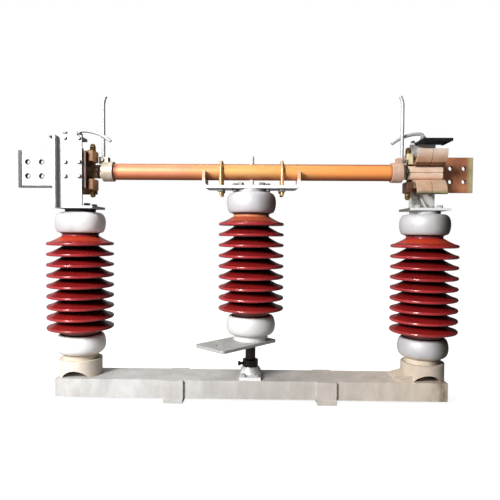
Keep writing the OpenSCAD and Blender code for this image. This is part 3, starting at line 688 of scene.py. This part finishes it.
def finger_clamps(side, turn, block_finish):
    """Spring bolts that squeeze each pair of fingers, and one that bears on blocks at their inner edge."""
    bolts = Shape(turn)
    coils = Shape(turn)
    blocks = Shape(turn)
    quarter = (finger_high.x - finger_low.x) / 4
    for x in (finger_low.x + quarter, finger_high.x - quarter):
        spring_bolt(bolts, coils, (x, CLAMP_Y, tube_z), root=CLAMP_ROOT, spring=12.8, nut=5.4, stud=3,
                    radius=6.4, wire=1.2, turns=4)
    inner_x = finger_low.x + BLOCK_SINK
    for way in BOTH:
        low, high = sorted((tube_z + way * BLOCK_NEAR, tube_z + way * BLOCK_FAR))
        near_corner = (inner_x - BLOCK_W, BLOCK_FRONT, low)
        blocks.plate(near_corner, (inner_x, bar_low.y + BLOCK_SINK, high), BLOCK_EDGE)
    guide_place = (inner_x - BLOCK_W / 2, GUIDE_Y, tube_z)
    spring_bolt(coils, coils, guide_place, root=BLOCK_FAR, spring=9.4, nut=6.4, stud=2,
                radius=7, wire=1.6, turns=2.5)
    blocks.done(f"{side}_finger_blocks", "frame", block_finish)
    bolts.done(f"{side}_finger_bolts", "frame", fastener)
    coils.done(f"{side}_finger_springs", "frame", spring_brass, smooth=60)


# Bracket welds: along the gusset's two edges and the upright's foot
THIN_WELD = 2.4
gusset_front, gusset_rear = -10, bar_low.y + 10
gusset_low, gusset_high = foot_z + 2, foot_z + 40
upright_start, upright_end = bracket_high.x - 78, bracket_high.x - 10


def bracket_welds(side, turn, alloy):
    """Beads on both sides of the gusset and along the upright's foot."""
    beads = Shape(turn)
    rear = bar_high.y - 0.2
    for way in BOTH:
        x = post_x + way * BRACKET_T / 2
        beads.weld((x, gusset_front, foot_z), (x, gusset_rear, foot_z), WELD, seed=3)
        beads.weld((x, rear, gusset_low), (x, rear, gusset_high), THIN_WELD, seed=5)
    beads.weld((upright_start, bar_high.y, foot_z), (upright_end, bar_high.y, foot_z), WELD, seed=7)
    beads.done(f"{side}_bracket_welds", "frame", alloy, smooth=60)


# Terminals: the dark strips' widths and section, and a bush as radii and heights over the face; both paint
# shade, on the edges and in the holes
END_W, LOWER_W = 10, 6
STRIP_LOW, STRIP_HIGH, STRIP_ROUND = -0.2, 1.4, 0.5
strip_start = bracket_high.x + 2
bar_t = bar_high.y - bar_low.y
hole_shade_liner = [(6.6, -bar_t), (6.95, -bar_t), (6.95, 0), (8.4, 0), (8.4, 0.4), (8.1, 0.7), (6.6, 0.7)]


def terminal_edge_shade(side, turn):
    """Dark strips on the terminal's outer face along its end and lower edge, and flanged bushes in its
    holes: painted shade on the edges and in the holes.
    """
    strip = Shape(turn)
    inside, outside = bar_high.y + STRIP_LOW, bar_high.y + STRIP_HIGH
    end_x = bar_high.x - END_W
    strip.plate((end_x, inside, bar_low.z), (bar_high.x, outside, bar_high.z), STRIP_ROUND)
    strip.plate((strip_start, inside, bar_low.z), (end_x, outside, bar_low.z + LOWER_W), STRIP_ROUND)
    for x in BOTH:
        for z in BOTH:
            place = (pad_x + x * pad_pitch / 2, bar_high.y, tube_z + z * pad_pitch / 2)
            strip.lathe(hole_shade_liner, place, REAR, 28, "join")
    strip.done(f"{side}_terminal_edge_shade", "frame", painted_edge_shade)


for side, turn, alloy, block_finish in (("right", 0, right_alloy, olive_brass),
                                        ("left", 180, left_alloy_painted_shade, block_brown)):
    contact_bolts(side, turn)
    finger_clamps(side, turn, block_finish)
    bracket_welds(side, turn, alloy)
    terminal_edge_shade(side, turn)


# Posts: cement in the caps' mouths, as radii and heights over the mouth; it is near black, painted shade
# where caps and porcelain meet
CEMENT = [(52.6, -1), (58.4, -1), (58.0, 0.8), (55.5, 2.2), (52.6, 3.2)]

for side, x, body in (("left", -post_x, "frame"),
                      ("centre", 0, "turning_column"),
                      ("right", post_x, "frame")):
    lower_mouth = corners(f"{side}_lower_cap")[1].z
    upper_mouth = corners(f"{side}_upper_cap")[0].z
    rings = Shape()
    for z, way in ((lower_mouth, 1), (upper_mouth, -1)):
        rings.lathe([(radius, way * height) for radius, height in CEMENT], (x, 0, z), UP, 48, "join")
    rings.done(f"{side}_cement", body, painted_shade_cement, smooth=60)


# Saddle and blade: bolts, and dark rings beside the end clamps, painted shade where each clamp meets the
# blade
SADDLE_T = 8
CAP_BOLT_SIZE, U_LEG_SIZE, TROUGH_BOLT_SIZE, EAR_BOLT_SIZE = 10, 10, 8, 6
U_LEG_X, U_LEG_Y = 89, 29.2
TROUGH_BOLT_X, TROUGH_BOLT_Y = 48, 24
EAR_X, EAR_Y = 440, 12
SHADE_RING = [(10, -1), (19.5, -1), (20.5, 1), (20.5, 4), (15, 6)]
ear_z = tube_z + 34
saddle_top = saddle_low.z + SADDLE_T

bolts = Shape()
for x in BOTH:
    for y in BOTH:
        trough_x, trough_y = x * TROUGH_BOLT_X, y * TROUGH_BOLT_Y
        bolts.bolt((x * POST_BOLT, y * POST_BOLT, saddle_top), UP, CAP_BOLT_SIZE, spin=0.12 * x)
        bolts.nut((x * U_LEG_X, y * U_LEG_Y, saddle_low.z), DOWN, U_LEG_SIZE, spin=0.2 * y)
        bolts.nut((trough_x, trough_y, saddle_low.z), DOWN, TROUGH_BOLT_SIZE, spin=0.1, stud=1.3)
        bolts.bolt((trough_x, trough_y, saddle_top), UP, TROUGH_BOLT_SIZE, spin=0.3)
    bolts.bolt((x * EAR_X, -EAR_Y, ear_z), FRONT, EAR_BOLT_SIZE, spin=0.2)
    bolts.bolt((x * EAR_X, EAR_Y, ear_z), REAR, EAR_BOLT_SIZE, spin=0.2)
bolts.done("blade_bolts", "turning_column", fastener)

# Dark rings at the clamps' inner ends: painted shade
rings = Shape()
for way in BOTH:
    rings.lathe(SHADE_RING, (way * clamp_high.x, 0, tube_z), (way, 0, 0), 32)
rings.done("blade_shade_rings", "turning_column", dark_steel)


# Shaft and crank: the collar's pin, measured from the shaft's axis, and the weld under the crank plate
PIN_R, PIN_FLATS = 4.2, 12
PIN_ROOT, PIN_HEAD, PIN_END = 20, 30, 37
PIN_AXIS = (-1, -0.15, 0)
pin_place = (0, 0, collar_low.z + 8)
CRANK_WELD = [(15, -4.5), (17, -3.6), (19.5, -1), (20, 0), (15, 0)]

pin = Shape()
pin.lathe([(PIN_R, PIN_ROOT), (PIN_R, PIN_HEAD)], pin_place, PIN_AXIS, 20)
pin.hexagon(pin_place, PIN_AXIS, PIN_FLATS, PIN_HEAD, PIN_END)
pin.done("collar_pin", "turning_column", dark_steel)

beads = Shape()
beads.lathe(CRANK_WELD, (0, 0, crank_low.z), UP, 40, "join")
beads.done("crank_weld", "turning_column", dark_steel, smooth=60)


# Base: the feet's welds, and the bolts of the bearing's foot plate
BEARING_FOOT_T = 8
BEARING_BOLT_SIZE = 9
bearing_bolt_x = bearing_high.x - 12
bearing_bolt_y = bearing_high.y - 13

beads = Shape()
for foot in ("left_foot", "right_foot"):
    low, high = corners(foot)
    for x in (low.x, high.x):
        for y in (beam_low.y, beam_high.y):
            beads.weld((x, y, beam_low.z + 2), (x, y, beam_high.z - 2), WELD, seed=int(x + y) % 97)
beads.done("foot_welds", "frame", galvanised, smooth=60)

bolts = Shape()
for x in BOTH:
    for y in BOTH:
        place = (x * bearing_bolt_x, y * bearing_bolt_y, beam_high.z + BEARING_FOOT_T)
        bolts.bolt(place, UP, BEARING_BOLT_SIZE, spin=0.1 * x)
bolts.done("bearing_bolts", "frame", rod_steel)


# Studio, in metres

def make_floor():
    """A floor that looks white and is darker where it lights the part."""
    bpy.ops.mesh.primitive_plane_add(size=30)
    floor = bpy.context.object
    floor.name = "floor"
    material, tree, shader = new_material("floor", 0.0, 0.9, specular=0.1)
    seen = tree.nodes.new("ShaderNodeLightPath").outputs["Is Camera Ray"]
    tone = ramp(tree, noise(tree, 0.7, detail=2), [(0.3, grey(0.3)), (0.7, grey(0.32))])
    tree.links.new(mix(tree, seen, grey(0.32), tone), shader.inputs["Base Color"])
    tree.links.new(mix(tree, seen, grey(0.0), grey(0.93)), shader.inputs["Emission Color"])
    shader.inputs["Emission Strength"].default_value = 1.0
    floor.data.materials.append(material)


def make_world(seen, left, right):
    """A white room that is dimmer where it lights the part, and dimmest on the right."""
    world = bpy.data.worlds.new("studio")
    world.use_nodes = True
    tree = world.node_tree
    across = span(tree, split(tree, "Generated")["X"], -1, 1)
    room = ramp(tree, across, [(0.15, grey(left)), (0.75, grey(right))])
    path = tree.nodes.new("ShaderNodeLightPath")
    color = mix(tree, path.outputs["Is Camera Ray"], room, grey(seen))
    tree.links.new(color, tree.nodes["Background"].inputs["Color"])
    bpy.context.scene.world = world


def area_light(name, place, target, size, power):
    """A round lamp that points at a target."""
    light = bpy.data.lights.new(name, "AREA")
    light.shape = "DISK"
    light.size = size
    light.energy = power
    lamp = bpy.data.objects.new(name, light)
    lamp.location = place
    lamp.rotation_euler = (Vector(target) - Vector(place)).to_track_quat("-Z", "Y").to_euler()
    bpy.context.collection.objects.link(lamp)


def make_camera():
    """The photograph's viewpoint, from a pinhole fitted to the rims of the sheds."""
    frame_px = 500
    focal_px = 488.7
    pitch, yaw, roll = -0.034, 0.021, 0.007
    camera = bpy.data.cameras.new("camera")
    camera.sensor_fit = "HORIZONTAL"
    camera.sensor_width = 36
    camera.lens = camera.sensor_width * focal_px / frame_px
    eye = bpy.data.objects.new("camera", camera)
    eye.location = (0.027, -1.45, 0.488)
    aim = Euler((math.radians(90) + pitch, 0, yaw)).to_matrix()
    eye.rotation_euler = (aim @ Matrix.Rotation(roll, 3, "Z")).to_euler()
    bpy.context.collection.objects.link(eye)
    bpy.context.scene.camera = eye


make_floor()
make_world(seen=1.0, left=0.45, right=0.02)
area_light("key", place=(-1.76, -2.34, 1.73), target=(0, 0, 0.45), size=0.96, power=200)
area_light("top", place=(-0.5, 0.5, 3.2), target=(0, 0, 0.4), size=1.8, power=40)
make_camera()
bpy.context.scene.view_settings.view_transform = "Standard"
